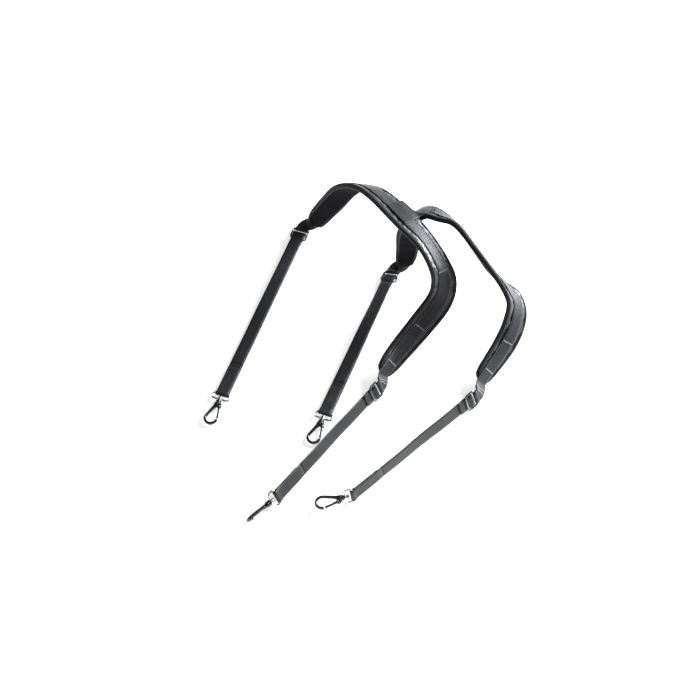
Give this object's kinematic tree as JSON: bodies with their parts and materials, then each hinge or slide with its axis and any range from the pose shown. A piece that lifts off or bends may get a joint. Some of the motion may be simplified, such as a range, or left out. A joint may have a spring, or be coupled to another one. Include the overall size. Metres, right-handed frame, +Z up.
{
  "type": "saxophone shoulder harness",
  "caption": "Black two-shoulder saxophone harness: padded straps joined at the back, webbing legs with slide adjusters and swivelling snap hooks.",
  "frame": {"origin": "middle of the footprint, on the surface that the harness lies on", "axes": "+Z up, +Y from the front hooks to the rear ends of the shoulder pads, +X to the right as seen from the front"},
  "size_m": [0.4704, 0.5425, 0.1562],
  "materials": {
    "pad_fabric": "woven black nylon shell over foam, dull",
    "pad_lining_fabric": "soft black brushed lining",
    "edge_binding": "black woven binding tape, stitched",
    "webbing": "black ribbed nylon webbing, slightly shiny",
    "leather": "black grained leather, stitched",
    "adjuster_metal": "black satin plated metal with worn edges",
    "nickel": "bright nickel plating",
    "steel": "plain steel",
    "dark_hook_metal": "dark gunmetal plating, polished"
  },
  "bodies": {
    "harness": {"left_pad_core": "pad_fabric", "left_pad_lining": "pad_lining_fabric", "left_pad_binding": "edge_binding", "left_shoulder_webbing": "webbing", "right_pad_core": "pad_fabric", "right_pad_lining": "pad_lining_fabric", "right_pad_binding": "edge_binding", "right_shoulder_webbing": "webbing", "junction_top": "leather", "junction_underside": "leather"},
    "rear_left_adjuster": {"rear_left_adjuster": "adjuster_metal", "rear_left_webbing_turn": "webbing", "rear_left_leg_webbing": "webbing"},
    "rear_left_tail": {"rear_left_webbing_tail": "webbing"},
    "rear_left_leg_end": {"rear_left_sewn_end": "webbing"},
    "rear_left_loop": {"rear_left_hook_loop": "nickel"},
    "rear_left_hook": {"rear_left_swivel_pin": "steel", "rear_left_hook_body": "dark_hook_metal", "rear_left_gate_pin": "steel", "rear_left_gate_spring": "steel"},
    "rear_left_gate": {"rear_left_gate": "dark_hook_metal"},
    "front_left_adjuster": {"front_left_adjuster": "adjuster_metal", "front_left_webbing_turn": "webbing", "front_left_leg_webbing": "webbing"},
    "front_left_tail": {"front_left_webbing_tail": "webbing"},
    "front_left_leg_end": {"front_left_sewn_end": "webbing"},
    "front_left_loop": {"front_left_hook_loop": "nickel"},
    "front_left_hook": {"front_left_swivel_pin": "steel", "front_left_hook_body": "dark_hook_metal", "front_left_gate_pin": "steel", "front_left_gate_spring": "steel"},
    "front_left_gate": {"front_left_gate": "dark_hook_metal"},
    "rear_right_adjuster": {"rear_right_adjuster": "adjuster_metal", "rear_right_webbing_turn": "webbing", "rear_right_leg_webbing": "webbing"},
    "rear_right_tail": {"rear_right_webbing_tail": "webbing"},
    "rear_right_leg_end": {"rear_right_sewn_end": "webbing"},
    "rear_right_loop": {"rear_right_hook_loop": "nickel"},
    "rear_right_hook": {"rear_right_swivel_pin": "steel", "rear_right_hook_body": "dark_hook_metal", "rear_right_gate_pin": "steel", "rear_right_gate_spring": "steel"},
    "rear_right_gate": {"rear_right_gate": "dark_hook_metal"},
    "front_right_adjuster": {"front_right_adjuster": "adjuster_metal", "front_right_webbing_turn": "webbing", "front_right_leg_webbing": "webbing"},
    "front_right_tail": {"front_right_webbing_tail": "webbing"},
    "front_right_leg_end": {"front_right_sewn_end": "webbing"},
    "front_right_loop": {"front_right_hook_loop": "nickel"},
    "front_right_hook": {"front_right_swivel_pin": "steel", "front_right_hook_body": "dark_hook_metal", "front_right_gate_pin": "steel", "front_right_gate_spring": "steel"},
    "front_right_gate": {"front_right_gate": "dark_hook_metal"}
  },
  "joints": [
    {"name": "rear_left_adjuster_pivot", "type": "hinge", "parent": "harness", "child": "rear_left_adjuster", "pos_m": [-0.09999, 0.25449, 0.00332], "axis": [-0.9426, 0.334, 0], "range_deg": [-20, 60]},
    {"name": "rear_left_leg_length", "type": "slide", "parent": "rear_left_adjuster", "child": "rear_left_leg_end", "axis": [0.334, 0.9426, 0.0028], "range_m": [0, 0.08], "deforming": ["rear_left_leg_webbing"]},
    {"name": "rear_left_tail_slide", "type": "slide", "parent": "rear_left_adjuster", "child": "rear_left_tail", "axis": [-0.334, -0.9426, -0.0028], "range_m": [0, 0.08]},
    {"name": "rear_left_loop_fold", "type": "hinge", "parent": "rear_left_leg_end", "child": "rear_left_loop", "pos_m": [-0.21, -0.056, 0.005], "axis": [0.9426, -0.334, 0], "range_deg": [-75, 75]},
    {"name": "rear_left_hook_swivel", "type": "hinge", "parent": "rear_left_loop", "child": "rear_left_hook", "pos_m": [-0.21327, -0.06524, 0.00497], "axis": [-0.334, -0.9426, -0.0028], "continuous": true},
    {"name": "rear_left_gate", "type": "hinge", "parent": "rear_left_hook", "child": "rear_left_gate", "pos_m": [-0.21298, -0.07818, 0.00494], "axis": [0.0009, 0.0026, -1], "range_deg": [0, 25], "stiffness_Nm_per_rad": 0.03, "springref_deg": -28.65, "deforming": ["rear_left_gate_spring"]},
    {"name": "front_left_adjuster_pivot", "type": "hinge", "parent": "harness", "child": "front_left_adjuster", "pos_m": [0.01933, -0.04928, 0.0133], "axis": [0.364, -0.2967, -0.8829], "range_deg": [-20, 40]},
    {"name": "front_left_leg_length", "type": "slide", "parent": "front_left_adjuster", "child": "front_left_leg_end", "axis": [0.612, 0.7907, -0.0134], "range_m": [0, 0.06], "deforming": ["front_left_leg_webbing"]},
    {"name": "front_left_tail_slide", "type": "slide", "parent": "front_left_adjuster", "child": "front_left_tail", "axis": [-0.612, -0.7907, 0.0134], "range_m": [0, 0.06]},
    {"name": "front_left_loop_fold", "type": "hinge", "parent": "front_left_leg_end", "child": "front_left_loop", "pos_m": [-0.125, -0.232, 0.0152], "axis": [-0.3918, 0.3179, 0.8634], "range_deg": [-63, 87]},
    {"name": "front_left_hook_swivel", "type": "hinge", "parent": "front_left_loop", "child": "front_left_hook", "pos_m": [-0.13227, -0.23851, 0.0143], "axis": [-0.7415, -0.6647, -0.0917], "continuous": true},
    {"name": "front_left_gate", "type": "hinge", "parent": "front_left_hook", "child": "front_left_gate", "pos_m": [-0.14184, -0.24528, 0.00881], "axis": [-0.658, 0.6936, 0.2931], "range_deg": [0, 25], "stiffness_Nm_per_rad": 0.03, "springref_deg": -28.65, "deforming": ["front_left_gate_spring"]},
    {"name": "rear_right_adjuster_pivot", "type": "hinge", "parent": "harness", "child": "rear_right_adjuster", "pos_m": [0.04105, 0.16713, 0.00749], "axis": [-0.8833, 0.3515, -0.3103], "range_deg": [-20, 60]},
    {"name": "rear_right_leg_length", "type": "slide", "parent": "rear_right_adjuster", "child": "rear_right_leg_end", "axis": [0.3642, 0.9311, 0.018], "range_m": [0, 0.07], "deforming": ["rear_right_leg_webbing"]},
    {"name": "rear_right_tail_slide", "type": "slide", "parent": "rear_right_adjuster", "child": "rear_right_tail", "axis": [-0.3642, -0.9311, -0.018], "range_m": [0, 0.07]},
    {"name": "rear_right_loop_fold", "type": "hinge", "parent": "rear_right_leg_end", "child": "rear_right_loop", "pos_m": [-0.06, -0.089, 0.005], "axis": [0.9313, -0.3643, 0], "range_deg": [-75, 75]},
    {"name": "rear_right_hook_swivel", "type": "hinge", "parent": "rear_right_loop", "child": "rear_right_hook", "pos_m": [-0.06357, -0.09813, 0.00482], "axis": [-0.3642, -0.9311, -0.018], "continuous": true},
    {"name": "rear_right_gate", "type": "hinge", "parent": "rear_right_hook", "child": "rear_right_gate", "pos_m": [-0.06369, -0.11107, 0.0046], "axis": [0.0066, 0.0168, -0.9998], "range_deg": [0, 25], "stiffness_Nm_per_rad": 0.03, "springref_deg": -28.65, "deforming": ["rear_right_gate_spring"]},
    {"name": "front_right_adjuster_pivot", "type": "hinge", "parent": "harness", "child": "front_right_adjuster", "pos_m": [0.15817, -0.06654, 0.01337], "axis": [0.2998, -0.3357, -0.893], "range_deg": [-20, 40]},
    {"name": "front_right_leg_length", "type": "slide", "parent": "front_right_adjuster", "child": "front_right_leg_end", "axis": [0.7303, 0.683, -0.0116], "range_m": [0, 0.06], "deforming": ["front_right_leg_webbing"]},
    {"name": "front_right_tail_slide", "type": "slide", "parent": "front_right_adjuster", "child": "front_right_tail", "axis": [-0.7303, -0.683, 0.0116], "range_m": [0, 0.06]},
    {"name": "front_right_loop_fold", "type": "hinge", "parent": "front_right_leg_end", "child": "front_right_loop", "pos_m": [-0.02, -0.23, 0.015], "axis": [-0.1699, 0.198, 0.9654], "range_deg": [-42, 108]},
    {"name": "front_right_hook_swivel", "type": "hinge", "parent": "front_right_loop", "child": "front_right_hook", "pos_m": [-0.02953, -0.23186, 0.0137], "axis": [-0.9729, -0.1899, -0.1322], "continuous": true},
    {"name": "front_right_gate", "type": "hinge", "parent": "front_right_hook", "child": "front_right_gate", "pos_m": [-0.04041, -0.23867, 0.01195], "axis": [0.1234, 0.0576, -0.9907], "range_deg": [0, 25], "stiffness_Nm_per_rad": 0.03, "springref_deg": -28.65, "deforming": ["front_right_gate_spring"]}
  ],
  "couplings": [
    {"joint": "rear_left_tail_slide", "follows": "rear_left_leg_length", "ratio": 1},
    {"joint": "front_left_tail_slide", "follows": "front_left_leg_length", "ratio": 1},
    {"joint": "rear_right_tail_slide", "follows": "rear_right_leg_length", "ratio": 1},
    {"joint": "front_right_tail_slide", "follows": "front_right_leg_length", "ratio": 1}
  ]
}
